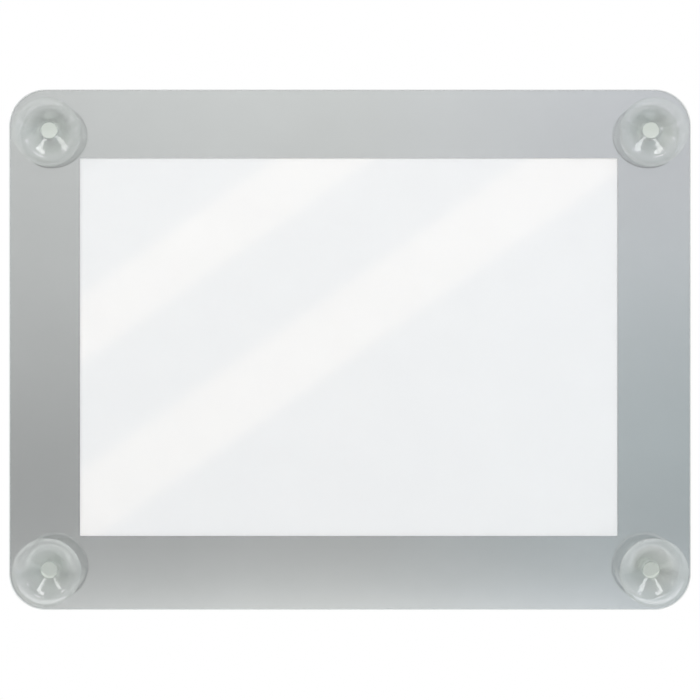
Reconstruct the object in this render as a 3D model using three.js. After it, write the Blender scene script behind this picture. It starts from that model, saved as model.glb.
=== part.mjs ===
// A landscape poster frame that sticks to the inside of a shop window by four suction cups.
// Millimetres. X runs to the viewer's right, Z up, and Y from the window glass into the room.
// The origin is on the glass, at the middle of the four cups, where their lips touch it.
import * as THREE from "three";
import { mergeVertices } from "three/addons/utils/BufferGeometryUtils.js";

// Poster: a standard A3 sheet, lying landscape
const posterWidth = 420;
const posterHeight = 297;
const posterThickness = 0.25;

// Front panel: how far it reaches past the window on each side, and its own form
const borderLeft = 54;
const borderRight = 56;
const borderTop = 52.5;
const borderBottom = 56.5;
const windowOverlap = 3;
const panelThickness = 2;
const panelCornerRadius = 28;
const panelEdgeRounding = 0.35;

// Silver border, printed on the panel's back and stopping just short of its edge
const borderThickness = 0.15;
const borderInset = 0.2;
const clearRingWidth = 0.4;

// Pocket: a thin back sheet on three strips of double-sided tape, with a thumb notch
const pocketThickness = 0.8;
const pocketCornerRadius = 3;
const pocketOverhang = 1;
const tapeThickness = 0.8;
const tapeWidth = 10;
const posterSideClearance = 1.5;
const posterStandsProud = 8;
const notchRadius = 15;
const notchShoulderRadius = 4;

// Suction cups: soft mouldings, each with a lip, a hollow bell, a low boss, a neck and a mushroom head
const cupInsetX = 31;
const cupInsetZ = 31;
const lipRadius = 26;
const lipFlatWidth = 1.6;
const lipThickness = 0.7;
const lipRounding = 0.5;
const dishDepth = 9.4;
const dishFloorRadius = 6.5;
const coneRadius = 14.8;
const coneHeight = 4.2;
const bellThickness = 1.7;
const crownThickness = 4.6;
const neckRadius = 6.5;
const bossStep = 0.7;
const bossHeight = 0.8;
const bossFillet = 0.3;
const headStep = 1.8;
const headEdge = 0.6;
const headTopRadius = 5;
const headLength = 5.2;

// Clearances
const glueFilm = 0.05;
const seatGap = 0.3;
const neckClearance = 0.3;

// Facets
const cornerSteps = 20;
const holeSteps = 28;
const cupSides = 36;
const curveSteps = 4;

// Depths along Y, from the glass into the room
const panelFrontY = dishDepth + crownThickness;
const panelBackY = panelFrontY + panelThickness;
const borderFrontY = panelBackY + glueFilm;
const borderBackY = borderFrontY + borderThickness;
const posterFrontY = borderBackY + seatGap;
const tapeFrontY = borderBackY + glueFilm;
const pocketFrontY = tapeFrontY + tapeThickness + glueFilm;

// Outlines in X and Z. The panel is centred, and the window in it follows from the borders.
const panelWidth = borderLeft + posterWidth - 2 * windowOverlap + borderRight;
const panelHeight = borderBottom + posterHeight - 2 * windowOverlap + borderTop;
const panelBox = {
  left: -panelWidth / 2,
  right: panelWidth / 2,
  bottom: -panelHeight / 2,
  top: panelHeight / 2,
};
const windowBox = {
  left: panelBox.left + borderLeft,
  right: panelBox.right - borderRight,
  bottom: panelBox.bottom + borderBottom,
  top: panelBox.top - borderTop,
};
const posterBox = grown(windowBox, windowOverlap);
const tapeSpan = {
  left: posterBox.left - posterSideClearance - tapeWidth,
  right: posterBox.right + posterSideClearance + tapeWidth,
  bottom: posterBox.bottom - seatGap - tapeWidth,
  top: posterBox.top - posterStandsProud - pocketOverhang,
};
const pocketBox = grown(tapeSpan, pocketOverhang);

// Cup stems, one near each corner of the panel
const holeRadius = neckRadius + neckClearance;
const cupX = panelWidth / 2 - cupInsetX;
const cupZ = panelHeight / 2 - cupInsetZ;
const cups = [
  { name: "cup_top_left", x: -cupX, z: cupZ },
  { name: "cup_top_right", x: cupX, z: cupZ },
  { name: "cup_bottom_left", x: -cupX, z: -cupZ },
  { name: "cup_bottom_right", x: cupX, z: -cupZ },
];

const clearSheet = new THREE.MeshStandardMaterial({
  color: 0xe8eeee,
  roughness: 0.08,
  metalness: 0,
  transparent: true,
  opacity: 0.25,
});
const silverInk = new THREE.MeshStandardMaterial({
  color: 0xaab2b1,
  roughness: 0.38,
  metalness: 0.55,
});
const paper = new THREE.MeshStandardMaterial({
  color: 0xf2f3f4,
  roughness: 0.9,
  metalness: 0,
});
const foamTape = new THREE.MeshStandardMaterial({
  color: 0xf0f0ec,
  roughness: 0.8,
  metalness: 0,
});
const softVinyl = new THREE.MeshStandardMaterial({
  color: 0xdbe8dc,
  roughness: 0.12,
  metalness: 0,
  transparent: true,
  opacity: 0.4,
});

const frame = new THREE.Group();

function addPiece(name, geometry, material) {
  const piece = new THREE.Mesh(geometry, material);
  piece.name = name;
  frame.add(piece);
  return piece;
}

function grown(box, margin) {
  return {
    left: box.left - margin,
    right: box.right + margin,
    bottom: box.bottom - margin,
    top: box.top + margin,
  };
}

// Points along an arc from one angle to another, both ends included.
function arc(x, z, radius, fromAngle, toAngle, steps = cornerSteps) {
  const points = [];
  for (let step = 0; step <= steps; step += 1) {
    const angle = fromAngle + ((toAngle - fromAngle) * step) / steps;
    points.push(new THREE.Vector2(x + radius * Math.cos(angle), z + radius * Math.sin(angle)));
  }
  return points;
}

function rectanglePoints(box) {
  return [
    new THREE.Vector2(box.left, box.bottom),
    new THREE.Vector2(box.right, box.bottom),
    new THREE.Vector2(box.right, box.top),
    new THREE.Vector2(box.left, box.top),
  ];
}

// A rectangle with round corners. topCut is a run of points that goes into its top edge.
function roundedPoints(box, radius, topCut = []) {
  const quarter = Math.PI / 2;
  const low = box.bottom + radius;
  const high = box.top - radius;
  return [
    ...arc(box.left + radius, low, radius, 2 * quarter, 3 * quarter),
    ...arc(box.right - radius, low, radius, 3 * quarter, 4 * quarter),
    ...arc(box.right - radius, high, radius, 0, quarter),
    ...topCut,
    ...arc(box.left + radius, high, radius, quarter, 2 * quarter),
  ];
}

// A half-round thumb notch in an edge at height z, from right to left, with rounded shoulders.
function notchPoints(x, z, radius, shoulder) {
  const reach = Math.sqrt((radius + shoulder) ** 2 - shoulder ** 2);
  const lean = Math.atan2(shoulder, reach);
  const straight = Math.PI;
  return [
    ...arc(x + reach, z - shoulder, shoulder, straight / 2, straight - lean),
    ...arc(x, z, radius, -lean, lean - straight).slice(1, -1),
    ...arc(x - reach, z - shoulder, shoulder, lean, straight / 2),
  ];
}

function roundHole(x, z, radius) {
  return new THREE.Path(arc(x, z, radius, 0, 2 * Math.PI, holeSteps).slice(0, -1));
}

// A flat sheet cut to an outline in X and Z, with its front face at frontY.
function flatSheet(points, thickness, frontY, { holes = [], edgeRounding = 0 } = {}) {
  const outline = new THREE.Shape(points);
  outline.holes.push(...holes);
  const sheet = new THREE.ExtrudeGeometry(outline, {
    depth: thickness - 2 * edgeRounding,
    bevelEnabled: edgeRounding > 0,
    bevelThickness: edgeRounding,
    bevelSize: edgeRounding,
    bevelOffset: -edgeRounding,
    bevelSegments: 2,
  });
  sheet.rotateX(Math.PI / 2);
  sheet.translate(0, frontY + thickness - edgeRounding, 0);
  return joined(sheet);
}

// The same shape with its shared corners merged, so that it is one closed surface.
function joined(geometry) {
  geometry.deleteAttribute("normal");
  geometry.deleteAttribute("uv");
  const whole = mergeVertices(geometry, 1e-4);
  whole.computeVertexNormals();
  return whole;
}

// Front panel: clear rigid sheet with softened edges and a hole for the neck of each cup
addPiece(
  "front_panel",
  flatSheet(roundedPoints(panelBox, panelCornerRadius), panelThickness, panelFrontY, {
    holes: cups.map(({ x, z }) => roundHole(x, z, holeRadius)),
    edgeRounding: panelEdgeRounding,
  }),
  clearSheet,
);

// Silver border: a mask with the window cut out and a clear ring left round each hole
addPiece(
  "silver_border",
  flatSheet(
    roundedPoints(grown(panelBox, -borderInset), panelCornerRadius - borderInset),
    borderThickness,
    borderFrontY,
    {
      holes: [
        new THREE.Path(rectanglePoints(windowBox)),
        ...cups.map(({ x, z }) => roundHole(x, z, holeRadius + clearRingWidth)),
      ],
    },
  ),
  silverInk,
);

// Poster: it stands on the bottom strip and looks over the top of the pocket back
addPiece(
  "poster_sheet",
  flatSheet(rectanglePoints(posterBox), posterThickness, posterFrontY),
  paper,
);

// Tape strips: left, right and bottom, with the top left open
const tapeStrips = {
  tape_left: { ...tapeSpan, right: tapeSpan.left + tapeWidth },
  tape_right: { ...tapeSpan, left: tapeSpan.right - tapeWidth },
  tape_bottom: {
    left: tapeSpan.left + tapeWidth + seatGap,
    right: tapeSpan.right - tapeWidth - seatGap,
    bottom: tapeSpan.bottom,
    top: tapeSpan.bottom + tapeWidth,
  },
};
for (const [name, box] of Object.entries(tapeStrips)) {
  addPiece(name, flatSheet(rectanglePoints(box), tapeThickness, tapeFrontY), foamTape);
}

// Pocket back: thin clear sheet with round corners and the thumb notch in its top edge
const notch = notchPoints(
  (pocketBox.left + pocketBox.right) / 2,
  pocketBox.top,
  notchRadius,
  notchShoulderRadius,
);
addPiece(
  "pocket_back",
  flatSheet(
    roundedPoints(pocketBox, pocketCornerRadius, notch),
    pocketThickness,
    pocketFrontY,
  ),
  clearSheet,
);

// The flaring part of the bell. It leaves the cone at the cone's slope and flattens towards the lip.
function flarePoints(coneY, slope, endRadius, lipY) {
  const reach = (endRadius - coneRadius) / 2;
  const curve = new THREE.QuadraticBezierCurve(
    new THREE.Vector2(coneRadius, coneY),
    new THREE.Vector2(coneRadius + reach, Math.max(lipY, coneY - slope * reach)),
    new THREE.Vector2(endRadius, lipY),
  );
  return curve.getPoints(curveSteps);
}

// Half of a cup's section, as radius and depth, from the dish's floor round to the head's top.
// The wall is thin in the skirt and thickens towards the boss.
function cupSection() {
  const dishSlope = (dishDepth - coneHeight) / (coneRadius - dishFloorRadius);
  const dish = [
    new THREE.Vector2(0, dishDepth),
    new THREE.Vector2(dishFloorRadius, dishDepth),
    ...flarePoints(coneHeight, dishSlope, lipRadius - lipRounding - lipFlatWidth, 0),
  ];
  const lip = [
    new THREE.Vector2(lipRadius - lipRounding, 0),
    new THREE.Vector2(lipRadius, lipThickness / 2),
  ];
  const bossY = panelFrontY - seatGap;
  const bossRadius = neckRadius + bossStep;
  const outerConeY = coneHeight + bellThickness;
  const filletY = bossY - bossHeight;
  const crownSlope = (filletY - outerConeY) / (coneRadius - bossRadius - bossFillet);
  const cornerY = filletY + crownSlope * bossFillet;
  const fillet = new THREE.QuadraticBezierCurve(
    new THREE.Vector2(bossRadius + bossFillet, filletY),
    new THREE.Vector2(bossRadius, cornerY),
    new THREE.Vector2(bossRadius, cornerY + bossFillet),
  );
  const bell = [
    ...flarePoints(outerConeY, crownSlope, lipRadius - lipRounding, lipThickness).reverse(),
    ...fillet.getPoints(curveSteps),
  ];
  const headY = borderBackY + seatGap;
  const headRadius = neckRadius + headStep;
  const neck = [
    new THREE.Vector2(bossRadius, bossY),
    new THREE.Vector2(neckRadius, bossY),
    new THREE.Vector2(neckRadius, headY),
    new THREE.Vector2(headRadius - headEdge / 2, headY),
  ];
  const dome = new THREE.QuadraticBezierCurve(
    new THREE.Vector2(headRadius, headY + headEdge),
    new THREE.Vector2(headRadius, headY + headLength),
    new THREE.Vector2(headTopRadius, headY + headLength),
  );
  const head = [...dome.getPoints(curveSteps), new THREE.Vector2(0, headY + headLength)];
  return [...dish, ...lip, ...bell, ...neck, ...head];
}

// Suction cups: one moulding each, pushed head first through the panel's hole
for (const { name, x, z } of cups) {
  const cup = addPiece(name, joined(new THREE.LatheGeometry(cupSection(), cupSides)), softVinyl);
  cup.position.set(x, 0, z);
}

export default frame;
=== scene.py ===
import math

import bmesh
import bpy
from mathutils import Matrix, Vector


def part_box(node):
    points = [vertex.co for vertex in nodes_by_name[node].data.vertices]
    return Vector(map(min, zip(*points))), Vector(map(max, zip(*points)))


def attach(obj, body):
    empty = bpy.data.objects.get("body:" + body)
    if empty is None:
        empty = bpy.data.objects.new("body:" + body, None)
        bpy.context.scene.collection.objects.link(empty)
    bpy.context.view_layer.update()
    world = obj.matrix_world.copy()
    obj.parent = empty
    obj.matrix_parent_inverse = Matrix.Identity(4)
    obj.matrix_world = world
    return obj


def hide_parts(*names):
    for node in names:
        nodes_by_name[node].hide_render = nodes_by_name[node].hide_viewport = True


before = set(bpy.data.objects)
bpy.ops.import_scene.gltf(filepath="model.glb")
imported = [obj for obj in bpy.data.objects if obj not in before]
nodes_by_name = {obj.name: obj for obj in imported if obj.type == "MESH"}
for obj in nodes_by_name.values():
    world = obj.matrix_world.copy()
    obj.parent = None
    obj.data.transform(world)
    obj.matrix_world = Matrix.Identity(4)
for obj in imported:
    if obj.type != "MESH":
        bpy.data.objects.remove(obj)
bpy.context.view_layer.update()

# The photograph is taken square on from the street side, so the camera looks along +Y at the panel's face.
# The picture shows 537.9 mm across at that face, and the cups' near rims and their mirror images
# stand as far apart as they do from about a metre away.
picture_width = 0.5379
picture_middle_height = -0.00025
camera_distance = 0.93
sensor_width_mm = 36.0

panel_low, panel_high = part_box("front_panel")
panel_front = panel_low.y
panel_back = panel_high.y

camera_data = bpy.data.cameras.new("photo_camera")
camera_data.sensor_width = sensor_width_mm
camera_data.lens = sensor_width_mm * camera_distance / picture_width
camera = bpy.data.objects.new("photo_camera", camera_data)
camera.location = (0, panel_front - camera_distance, picture_middle_height)
camera.rotation_euler = (math.radians(90), 0, 0)
bpy.context.scene.collection.objects.link(camera)
bpy.context.scene.camera = camera


# The front panel is one clear rigid acrylic sheet, laser cut with round corners and a hole near each one.
# Its faces are glossy and its cut edge is a little frosted. It carries the print, the pocket and the cups.
sheet_tint = (0.985, 0.988, 0.987, 1)
sheet_roughness = 0.035
sheet_haze = 0.004
sheet_edge = (0.70, 0.78, 0.75, 1)
sheet_edge_share = 0.55
head_on_mirror = 0.04
grazing_power = 5.0
cut_roughness = 0.32
dust_colour = (0.9, 0.92, 0.92, 1)
pure_white = (1, 1, 1, 1)


def node_adder(tree):
    """A short way to add a node to a tree, with its settings, its values and what is joined to it."""
    def add(kind, joined=None, **settings):
        node = tree.nodes.new(kind)
        for key, value in settings.items():
            setattr(node, key, value)
        for socket, source in (joined or {}).items():
            if isinstance(source, bpy.types.NodeSocket):
                tree.links.new(source, node.inputs[socket])
            else:
                node.inputs[socket].default_value = source
        return node

    return add


def new_material(name):
    """A node material with nothing in it, and the way to add its nodes."""
    material = bpy.data.materials.new(name)
    material.use_nodes = True
    material.node_tree.nodes.clear()
    return material, node_adder(material.node_tree)


def close_material(add, surface, volume=None):
    """Gives a finished shader to the material's output."""
    joined = {"Surface": surface}
    if volume is not None:
        joined["Volume"] = volume
    add("ShaderNodeOutputMaterial", joined)


def object_point(add):
    """Where a point lies on the part at rest, in metres."""
    return add("ShaderNodeTexCoord").outputs["Object"]


def speckle(add, scale, detail, roughness=0.5):
    """Random variation over a surface, around 0.5, finer as the scale rises."""
    values = {"Vector": object_point(add), "Scale": scale, "Detail": detail, "Roughness": roughness}
    return add("ShaderNodeTexNoise", values).outputs["Fac"]


def spread(add, value, low, high, to_low=0.0, to_high=1.0):
    """Turns a value from low to high into one from to_low to to_high, and holds it there beyond."""
    values = {"Value": value, "From Min": low, "From Max": high, "To Min": to_low, "To Max": to_high}
    return add("ShaderNodeMapRange", values).outputs[0]


def times(add, first, second):
    return add("ShaderNodeMath", {0: first, 1: second}, operation="MULTIPLY").outputs[0]


def plus(add, first, second):
    return add("ShaderNodeMath", {0: first, 1: second}, operation="ADD").outputs[0]


def relief(add, height, strength, depth):
    """Small bumps and hollows that a surface is too fine to model."""
    return add("ShaderNodeBump", {"Height": height, "Strength": strength, "Distance": depth}).outputs[0]


def mixed(add, share, first, second):
    """Two finishes in one, with the given share of the second."""
    return add("ShaderNodeMixShader", {0: share, 1: first, 2: second}).outputs[0]


def facing_mirror(add, head_on):
    """How much a clear face mirrors: a few per cent head on, and all of the light at a grazing angle."""
    facing = add("ShaderNodeLayerWeight", {"Blend": 0.5}).outputs["Facing"]
    grazing = add("ShaderNodeMath", {0: facing, 1: grazing_power}, operation="POWER").outputs[0]
    return plus(add, times(add, grazing, 1 - head_on), head_on)


def clear_sheet_material(name, tint, roughness, haze, edge_colour, edge_share):
    """Thin clear sheet: light goes straight through, the face mirrors a little, the cut edge is frosted."""
    material, add = new_material(name)
    wipe_marks = speckle(add, scale=22.0, detail=5.0, roughness=0.6)
    gloss = spread(add, wipe_marks, 0.35, 0.7, roughness * 0.7, roughness * 1.7)
    passing = add("ShaderNodeBsdfTransparent", {"Color": tint}).outputs[0]
    mirror = add("ShaderNodeBsdfGlossy", {"Color": pure_white, "Roughness": gloss}).outputs[0]
    dust = add("ShaderNodeBsdfDiffuse", {"Color": dust_colour}).outputs[0]
    clean_face = mixed(add, facing_mirror(add, head_on_mirror), passing, mirror)
    face = mixed(add, haze, clean_face, dust)

    out_of_face = add("ShaderNodeSeparateXYZ", {0: add("ShaderNodeTexCoord").outputs["Normal"]})
    flatness = add("ShaderNodeMath", {0: out_of_face.outputs["Y"]}, operation="ABSOLUTE").outputs[0]
    on_edge = spread(add, flatness, 0.75, 0.3, 0.0, edge_share)
    saw_lines = relief(add, speckle(add, scale=900.0, detail=2.0), strength=0.25, depth=0.0002)
    cut = add("ShaderNodeBsdfPrincipled", {"Base Color": edge_colour, "Roughness": cut_roughness,
                                           "Normal": saw_lines}).outputs[0]
    close_material(add, mixed(add, on_edge, face, cut))
    return material


def dress(node_name, material):
    """Puts a material on every face of a CAD node."""
    mesh = nodes_by_name[node_name].data
    mesh.materials.clear()
    mesh.materials.append(material)
    for face in mesh.polygons:
        face.material_index = 0


dress("front_panel", clear_sheet_material("clear_acrylic_sheet", sheet_tint, sheet_roughness, sheet_haze,
                                          sheet_edge, sheet_edge_share))


# The silver border is a metallic ink, screen printed on the panel's back and seen through the sheet.
# It leaves the window, a hairline along the edge and a clear ring round each hole. Its own back is matt;
# here it is only given a darker grey.
ink_colour = (0.615, 0.628, 0.622, 1)
ink_dark = (0.58, 0.592, 0.586, 1)
ink_back_colour = (0.42, 0.44, 0.435, 1)
ink_roughness = 0.11
ink_metal = 0.80
ink_low, ink_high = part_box("silver_border")
ink_middle = (ink_low.y + ink_high.y) / 2


def blend(add, share, first, second):
    """A colour that goes from the first to the second as the share rises."""
    return add("ShaderNodeMix", {0: share, 6: first, 7: second}, data_type="RGBA").outputs[2]


ink, add = new_material("silver_ink")
flakes = speckle(add, scale=2600.0, detail=2.0, roughness=0.7)
squeegee_marks = speckle(add, scale=9.0, detail=4.0)
front_colour = blend(add, spread(add, squeegee_marks, 0.3, 0.7), ink_dark, ink_colour)
depth = add("ShaderNodeSeparateXYZ", {0: object_point(add)}).outputs["Y"]
on_back = add("ShaderNodeMath", {0: depth, 1: ink_middle}, operation="GREATER_THAN").outputs[0]
silver = add("ShaderNodeBsdfPrincipled", {
    "Base Color": blend(add, on_back, front_colour, ink_back_colour), "Metallic": ink_metal,
    "Roughness": spread(add, flakes, 0.3, 0.7, ink_roughness * 0.85, ink_roughness * 1.15),
    "Normal": relief(add, flakes, strength=0.05, depth=0.0001)})
close_material(add, silver.outputs[0])
dress("silver_border", ink)


# The poster is a blank sheet of smooth coated paper that slides into the pocket from above.
# Behind the clear window it reads as an even, slightly cool white with a gloss that shows soft sheens.
paper_white = (0.938, 0.950, 0.964, 1)
paper_shade = (0.918, 0.931, 0.946, 1)
paper_roughness = 0.05

paper, add = new_material("coated_paper")
fibres = speckle(add, scale=700.0, detail=6.0, roughness=0.65)
clouds = speckle(add, scale=30.0, detail=3.0)
mottle = spread(add, times(add, fibres, clouds), 0.1, 0.4)
sheet = add("ShaderNodeBsdfPrincipled", {
    "Base Color": blend(add, mottle, paper_shade, paper_white), "Roughness": paper_roughness,
    "Normal": relief(add, fibres, strength=0.015, depth=0.00005)})
close_material(add, sheet.outputs[0])
dress("poster_sheet", paper)


# Three strips of white double-sided foam tape hold the pocket's back to the panel and close it at the
# sides and below. They are die cut from closed-cell foam, with fine pores along their edges.
foam_white = (0.88, 0.88, 0.85, 1)
foam_pore = (0.70, 0.70, 0.67, 1)
foam_roughness = 0.72

foam, add = new_material("foam_tape")
cells = add("ShaderNodeTexVoronoi", {"Vector": object_point(add), "Scale": 1900.0}).outputs["Distance"]
padding = add("ShaderNodeBsdfPrincipled", {
    "Base Color": blend(add, spread(add, cells, 0.05, 0.5), foam_pore, foam_white),
    "Roughness": foam_roughness, "Normal": relief(add, cells, strength=0.3, depth=0.0002)})
close_material(add, padding.outputs[0])
for tape in ("tape_left", "tape_right", "tape_bottom"):
    dress(tape, foam)


# The pocket's back is a thinner clear sheet with a thumb notch at the top, die cut and taped on behind the
# poster. It is a shade hazier than the panel, as extruded film is.
film_tint = (0.975, 0.98, 0.978, 1)
film_roughness = 0.08
film_haze = 0.02
film_edge = (0.82, 0.87, 0.86, 1)
film_edge_share = 0.5
dress("pocket_back", clear_sheet_material("clear_film", film_tint, film_roughness, film_haze,
                                          film_edge, film_edge_share))


# Each suction cup is one moulding of clear soft vinyl with a faint green tint and a thin milky bloom. Its
# neck is pushed through the panel's hole and its mushroom head holds it there. Off the glass, the bells of
# the upper two nod on their necks, with their lower lips curled back, and the lower two face inwards.
steps_around = 144
curve_steps = 9
lip_flat = 0.0016
lip_rounding = 0.0005
lip_thickness = 0.0007
dish_depth = 0.0094
dish_floor_radius = 0.0065
dish_corner = 0.0003
dish_corner_drop = 0.00018
cone_radius = 0.0148
cone_height = 0.0042
bell_wall = 0.0017
crown_wall = 0.0046
boss_step = 0.0007
boss_height = 0.0008
boss_fillet = 0.0003
boss_rounding = 0.0003
neck_radius = 0.0065
neck_gap = 0.0003
head_gap = 0.0005
head_step = 0.0018
head_edge = 0.0006
head_rounding = 0.0003
head_top_radius = 0.0050
dome_drop = 0.12
boss_top = dish_depth + crown_wall - neck_gap

# Degrees that each bell nods, and how far its way turns from straight down towards the right
nodding = {"cup_top_left": (13.0, 6.0), "cup_top_right": (13.0, -3.0),
           "cup_bottom_left": (4.0, 90.0), "cup_bottom_right": (2.0, -90.0)}
full_nod = math.radians(13.0)
neck_bend_depth = 0.0145
neck_bend_length = 0.0030
neck_squeeze = 0.0020
upper_bend = 1.15
lip_curl = 0.0025
curl_radius = 0.021
crown_seat = panel_front - 0.0002
seat_softness = 0.0008
rim_clearance = 0.0001


def curve_through(start, bend, end, steps):
    """Points along a quadratic curve, without its first point."""
    points = []
    for step in range(1, steps + 1):
        t = step / steps
        points.append(tuple((1 - t) ** 2 * a + 2 * t * (1 - t) * b + t * t * c
                            for a, b, c in zip(start, bend, end)))
    return points


def straight_to(start, end, steps):
    """Points along a straight line, without its first point."""
    return [tuple(a + (b - a) * step / steps for a, b in zip(start, end)) for step in range(1, steps + 1)]


def flare(start, slope, end, steps):
    """The bell's flare: it leaves the cone at the cone's slope and flattens towards the lip."""
    reach = (end[0] - start[0]) / 2
    bend = (start[0] + reach, max(end[1], start[1] - slope * reach))
    return curve_through(start, bend, end, steps)


def cup_profile(lip_radius, head_back):
    """Radius and depth of the cup's skin, from the middle of the dish round the lip to the head's top."""
    lip_inner = lip_radius - lip_rounding - lip_flat
    lip_outer = lip_radius - lip_rounding
    floor_edge = (dish_floor_radius - dish_corner, dish_depth)
    cone_start = (dish_floor_radius + dish_corner, dish_depth - dish_corner_drop)
    dish_slope = (dish_depth - cone_height) / (cone_radius - dish_floor_radius)
    skin = [(0.0, dish_depth)]
    skin += straight_to(skin[-1], floor_edge, 5)
    skin += curve_through(floor_edge, (dish_floor_radius, dish_depth), cone_start, 5)
    skin += straight_to(cone_start, (cone_radius, cone_height), curve_steps)
    skin += flare(skin[-1], dish_slope, (lip_inner, 0.0), curve_steps * 2)

    skin += straight_to(skin[-1], (lip_outer, 0.0), 3)
    lip_edge = (lip_radius, lip_thickness / 2)
    skin += curve_through((lip_outer, 0.0), (lip_radius, 0.0), lip_edge, 4)
    skin += curve_through(lip_edge, (lip_radius, lip_thickness), (lip_outer, lip_thickness), 4)

    wall = cone_height + bell_wall
    boss_radius = neck_radius + boss_step
    boss_foot = boss_top - boss_height
    crown_slope = (boss_foot - wall) / (cone_radius - boss_radius - boss_fillet)
    outside = flare((cone_radius, wall), crown_slope, (lip_outer, lip_thickness), curve_steps * 2)
    skin += outside[-2::-1] + [(cone_radius, wall)]
    skin += straight_to(skin[-1], (boss_radius + boss_fillet, boss_foot), curve_steps)
    fillet_corner = boss_foot + crown_slope * boss_fillet
    fillet_end = (boss_radius, fillet_corner + boss_fillet)
    skin += curve_through(skin[-1], (boss_radius, fillet_corner), fillet_end, curve_steps)
    skin += straight_to(fillet_end, (boss_radius, boss_top - boss_rounding), 2)
    skin += curve_through(skin[-1], (boss_radius, boss_top), (boss_radius - boss_rounding, boss_top), 3)

    head_front = panel_back + head_gap
    head_radius = neck_radius + head_step
    skin += straight_to(skin[-1], (neck_radius, boss_top), 2)
    skin += straight_to(skin[-1], (neck_radius, head_front), 4)
    skin += straight_to(skin[-1], (head_radius - head_rounding, head_front), 2)
    dome_start = (head_radius, head_front + head_edge)
    skin += curve_through(skin[-1], (head_radius, head_front), dome_start, 4)
    dome_bend = (head_radius, head_back - (head_back - head_front) * dome_drop)
    skin += curve_through(dome_start, dome_bend, (head_top_radius, head_back), curve_steps)
    skin += straight_to(skin[-1], (0.0, head_back), 4)
    return skin


def nod(x, z, depth, lip_radius, lean, sway):
    """Where a point of the bell goes when the soft cup nods about its neck and its lower lip curls back.

    It nods straight down, or, with a sway, that far from there towards the right.
    """
    x, z = x * math.cos(sway) + z * math.sin(sway), z * math.cos(sway) - x * math.sin(sway)
    soft = min(max((boss_top - depth) / neck_bend_length, 0.0), 1.0)
    soft = soft * soft * (3 - 2 * soft)
    turn = lean * soft
    forward = neck_bend_depth - depth
    upper = min(max(z / lip_radius, 0.0), 1.0)
    lower = min(max(-z / lip_radius, 0.0), 1.0)
    outer = min(max((math.hypot(x, z) - curl_radius) / (lip_radius - curl_radius), 0.0), 1.0)

    rim_ahead = lip_radius * math.sin(lean) - neck_bend_depth * (1 - math.cos(lean))
    squeeze = neck_squeeze * lean / full_nod
    curl = lip_curl * lean / full_nod
    y = neck_bend_depth - forward * math.cos(turn) - z * math.sin(turn)
    y += (squeeze + (rim_ahead - squeeze) * upper ** upper_bend) * soft + curl * outer ** 2 * lower
    pressed = (y - crown_seat) / seat_softness + 1
    if pressed > 0 and depth <= boss_top:
        y = crown_seat - seat_softness * math.exp(-pressed)
    y = max(y, rim_clearance * soft)

    z = z * math.cos(turn) - forward * math.sin(turn)
    return x * math.cos(sway) - z * math.sin(sway), y, x * math.sin(sway) + z * math.cos(sway)


def cup_mesh(name, lip_radius, head_back, centre):
    """The cup's skin, turned round its middle, and nodding as the photograph shows it."""
    lean, sway = (math.radians(angle) for angle in nodding[name])
    bm = bmesh.new()
    rings = []
    for radius, depth in cup_profile(lip_radius, head_back):
        ring = []
        for step in range(steps_around if radius > 0 else 1):
            angle = 2 * math.pi * step / steps_around
            across, up = radius * math.sin(angle), radius * math.cos(angle)
            x, y, z = nod(across, up, depth, lip_radius, lean, sway)
            ring.append(bm.verts.new((centre.x + x, y, centre.z + z)))
        rings.append(ring)
    for first, second in zip(rings, rings[1:]):
        for step in range(steps_around):
            after = (step + 1) % steps_around
            corners = [first[step % len(first)], first[after % len(first)],
                       second[after % len(second)], second[step % len(second)]]
            bm.faces.new(list(dict.fromkeys(corners)))
    bmesh.ops.recalc_face_normals(bm, faces=bm.faces)
    for face in bm.faces:
        face.smooth = True
    mesh = bpy.data.meshes.new(name)
    bm.to_mesh(mesh)
    bm.free()
    return mesh


vinyl_tint = (0.985, 0.99, 0.985, 1)
vinyl_depth_tint = (0.50, 0.58, 0.49, 1)
vinyl_density = 72.0
vinyl_ior = 1.53
vinyl_smoothest = 0.05
vinyl_roughest = 0.12
vinyl_bloom = 0.12
bloom_colour = (0.86, 0.90, 0.87, 1)
light_through_face = 0.96
light_through_edge = 0.25

vinyl, add = new_material("soft_vinyl")
handling_marks = speckle(add, scale=400.0, detail=3.0)
soft_waves = speckle(add, scale=160.0, detail=2.0)
glassy = add("ShaderNodeBsdfPrincipled", {
    "Base Color": vinyl_tint, "IOR": vinyl_ior, "Transmission Weight": 1.0,
    "Roughness": spread(add, handling_marks, 0.3, 0.7, vinyl_smoothest, vinyl_roughest),
    "Normal": relief(add, soft_waves, strength=0.10, depth=0.0003)})
bloom = add("ShaderNodeBsdfDiffuse", {"Color": bloom_colour})
milky = mixed(add, vinyl_bloom, glassy.outputs[0], bloom.outputs[0])
facing = add("ShaderNodeLayerWeight", {"Blend": 0.5}).outputs["Facing"]
shadow_tone = spread(add, facing, 0.25, 1.0, light_through_face, light_through_edge)
let_through = add("ShaderNodeBsdfTransparent", {"Color": shadow_tone})
path = add("ShaderNodeLightPath")
lamp_ray = add("ShaderNodeMath", {0: path.outputs["Is Shadow Ray"], 1: path.outputs["Is Diffuse Ray"]},
               operation="MAXIMUM")
inside = add("ShaderNodeVolumeAbsorption", {"Color": vinyl_depth_tint, "Density": vinyl_density})
close_material(add, mixed(add, lamp_ray.outputs[0], milky, let_through.outputs[0]), inside.outputs[0])

for cup_name in nodding:
    low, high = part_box(cup_name)
    mesh = cup_mesh(cup_name, (high.x - low.x) / 2, high.y, (low + high) / 2)
    mesh.materials.append(vinyl)
    cup = bpy.data.objects.new(cup_name + "_moulding", mesh)
    bpy.context.scene.collection.objects.link(cup)
    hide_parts(cup_name)
    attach(cup, cup_name)


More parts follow.
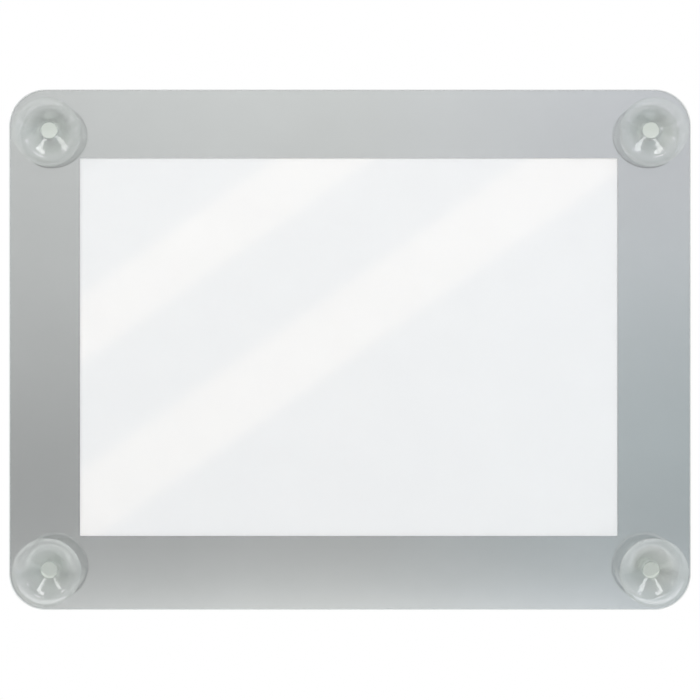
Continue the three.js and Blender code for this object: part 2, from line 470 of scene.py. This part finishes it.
# The floor is a plain white sweep below the frame, painted a little darker behind it. The camera sees it
# as pure white, like the photograph's background.
floor_height = panel_low.z - 0.25
floor_front = -0.9
floor_side = 5.0
floor_tone = 0.88
floor_tone_behind = 0.85
floor_tone_ends = 0.25

floor_mesh = bpy.data.meshes.new("floor")
floor_mesh.from_pydata([(-floor_side, floor_front, floor_height), (floor_side, floor_front, floor_height),
                        (floor_side, floor_side, floor_height), (-floor_side, floor_side, floor_height)],
                       [], [(0, 1, 2, 3)])
floor = bpy.data.objects.new("floor", floor_mesh)
bpy.context.scene.collection.objects.link(floor)
pale, add = new_material("pale_floor")
backwards = add("ShaderNodeSeparateXYZ", {0: object_point(add)}).outputs["Y"]
paint_tone = spread(add, backwards, 0.0, floor_tone_ends, floor_tone, floor_tone_behind)
paint = add("ShaderNodeBsdfDiffuse", {"Color": paint_tone})
lit_white = add("ShaderNodeEmission", {"Color": pure_white, "Strength": 1.0})
to_camera = add("ShaderNodeLightPath").outputs["Is Camera Ray"]
close_material(add, mixed(add, to_camera, paint.outputs[0], lit_white.outputs[0]))
floor_mesh.materials.append(pale)


# The studio round the frame is white behind it. In front it is brighter above and at the foot, darkest just
# below the camera and cooler to the right, as the silver print mirrors it. Each tone goes with a rise, the
# upward share of a ray's direction, and the other values are such shares too.
studio_rises = (
    (-0.34, 0.30), (-0.225, 1.52), (-0.208, 1.00), (-0.192, 0.755), (-0.175, 0.64), (-0.160, 0.58),
    (-0.140, 0.515), (-0.108, 0.54), (-0.060, 0.61), (-0.011, 0.68), (0.036, 0.765), (0.085, 0.85),
    (0.132, 0.915), (0.168, 0.99), (0.204, 1.03), (0.27, 1.10), (0.34, 1.02), (0.50, 1.02), (0.62, 0.70))
lowest, highest = studio_rises[0][0], studio_rises[-1][0]
side_fall = 1.3
side_fall_limit = 0.06
upper_right_light = (0.995, 1.00, 1.06, 1)
lower_right_light = (1.10, 1.22, 1.28, 1)
right_light_full = 0.225
lower_light_starts, lower_light_full = 0.135, -0.07
foot_light_full, foot_light_ends = -0.225, -0.15
foot_cast = 0.2
front_ends, back_starts = -0.15, 0.25

world = bpy.data.worlds.new("studio")
bpy.context.scene.world = world
world.use_nodes = True
world.node_tree.nodes.clear()
add = node_adder(world.node_tree)
direction = add("ShaderNodeSeparateXYZ", {0: add("ShaderNodeTexCoord").outputs["Generated"]})
rightwards, backwards, upwards = direction.outputs

studio = add("ShaderNodeValToRGB", {0: spread(add, upwards, lowest, highest)})
ramp = studio.color_ramp
while len(ramp.elements) < len(studio_rises):
    ramp.elements.new(0.5)
for element, (height, tone) in zip(ramp.elements, studio_rises):
    element.position = (height - lowest) / (highest - lowest)
    element.color = (tone, tone, tone, 1)

off_axis = times(add, rightwards, rightwards)
near_axis = add("ShaderNodeMath", {0: off_axis, 1: side_fall_limit}, operation="MINIMUM").outputs[0]
dimming = plus(add, times(add, near_axis, -side_fall), 1.0)
below = spread(add, upwards, lower_light_starts, lower_light_full)
off_foot = spread(add, upwards, foot_light_full, foot_light_ends, foot_cast)
right_light = blend(add, times(add, below, off_foot), upper_right_light, lower_right_light)
cast = blend(add, spread(add, rightwards, 0.0, right_light_full), pure_white, right_light)
toned = add("ShaderNodeVectorMath", {0: studio.outputs[0], 1: cast}, operation="MULTIPLY").outputs[0]
front = add("ShaderNodeVectorMath", {0: toned, "Scale": dimming}, operation="SCALE").outputs[0]
surround = blend(add, spread(add, backwards, front_ends, back_starts), front, pure_white)
to_camera = add("ShaderNodeLightPath").outputs["Is Camera Ray"]
light = add("ShaderNodeBackground", {"Color": blend(add, to_camera, surround, pure_white), "Strength": 1.0})
add("ShaderNodeOutputWorld", {"Surface": light.outputs[0]})


# Two long strips behind the camera give the slanting sheens on the poster, and only the poster takes their
# light. Three soft boxes, one above the camera and one at each side, give the cups their bright wedges.
strip_depth = -2.5
strip_slope = math.radians(35.0)
strip_light = (1.0, 0.76, 0.52)
strip_radiance = 2.0


def soft_lamp(name, place, aim, width, height, radiance, colour):
    """A soft box, hidden from the camera, whose face is as bright as the radiance says."""
    data = bpy.data.lights.new(name, "AREA")
    data.shape = "RECTANGLE"
    data.size = width
    data.size_y = height
    data.energy = radiance * width * height * math.pi
    data.color = colour
    lamp = bpy.data.objects.new(name, data)
    lamp.location = place
    lamp.rotation_euler = (Vector(aim) - Vector(place)).to_track_quat("-Z", "Y").to_euler()
    lamp.visible_camera = False
    bpy.context.scene.collection.objects.link(lamp)
    return lamp


# How far across and up the middle of each strip is, and its width and length
poster_strips = {"strip_upper": (-0.407, 0.311, 0.159, 2.4),
                 "strip_lower": (0.0, 0.083, 0.181, 3.2)}
poster_only = bpy.data.collections.new("poster_only")
poster_only.objects.link(nodes_by_name["poster_sheet"])
for name, (x, z, width, length) in poster_strips.items():
    strip = soft_lamp(name, (x, strip_depth, z), (x, 0, z), length, width, strip_radiance, strip_light)
    strip.rotation_euler.rotate_axis("Z", strip_slope)
    strip.light_linking.receiver_collection = poster_only

soft_lamp("lamp_above", place=(0.08, -1.63, 1.55), aim=(0, 0, 0), width=0.95, height=0.32,
          radiance=7.4, colour=(1.0, 1.0, 1.0))
soft_lamp("lamp_left", place=(-1.262, -0.662, 0.637), aim=(-0.1, 0, 0), width=0.50, height=0.26,
          radiance=4.7, colour=(1.0, 1.0, 0.985))
soft_lamp("lamp_right", place=(1.90, -1.187, 1.11), aim=(0.1, 0, 0), width=0.70, height=0.44,
          radiance=6.2, colour=(0.96, 0.98, 1.0))

bpy.context.scene.view_settings.view_transform = "Standard"
